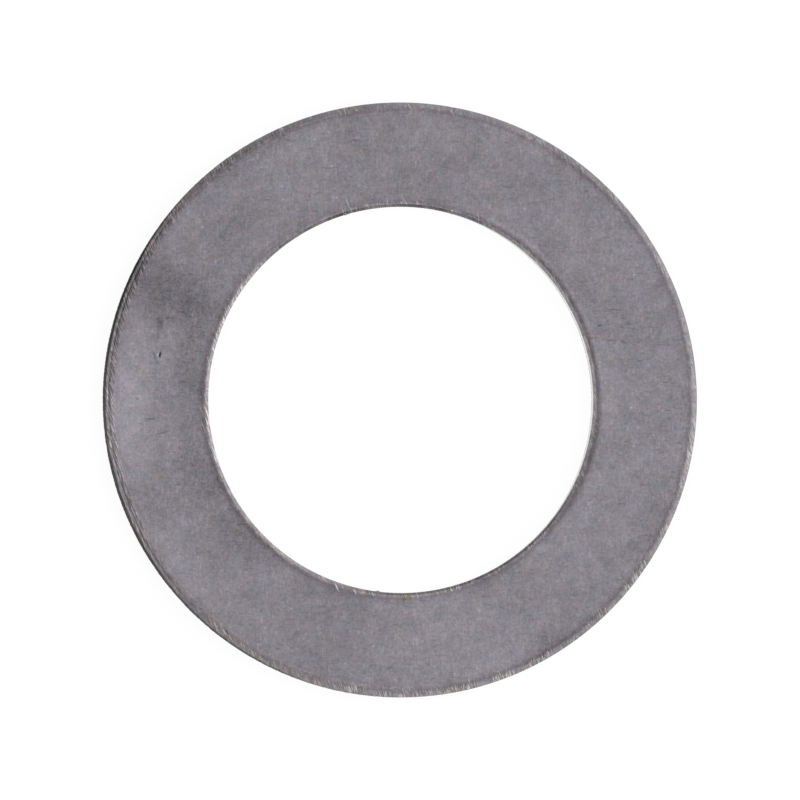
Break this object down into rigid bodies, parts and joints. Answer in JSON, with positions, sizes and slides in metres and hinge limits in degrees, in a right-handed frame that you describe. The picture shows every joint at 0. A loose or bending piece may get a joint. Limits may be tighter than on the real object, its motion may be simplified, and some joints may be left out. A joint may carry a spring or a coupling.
{
  "type": "shim ring",
  "caption": "Flat steel shim ring, blanked from strip, with a rolled and belt-deburred edge on the upper side of both rims.",
  "frame": {"origin": "centre of the bore at the lower face, which is the deburred burr side", "axes": "+Z along the ring's axis, out of the upper face; X and Y lie in the lower face, and the ring is round about Z"},
  "size_m": [0.017, 0.017, 0.001],
  "materials": {
    "steel": "dull cold-rolled steel with belt-ground edges"
  },
  "bodies": {
    "root": {"shim_ring": "steel"}
  },
  "joints": []
}
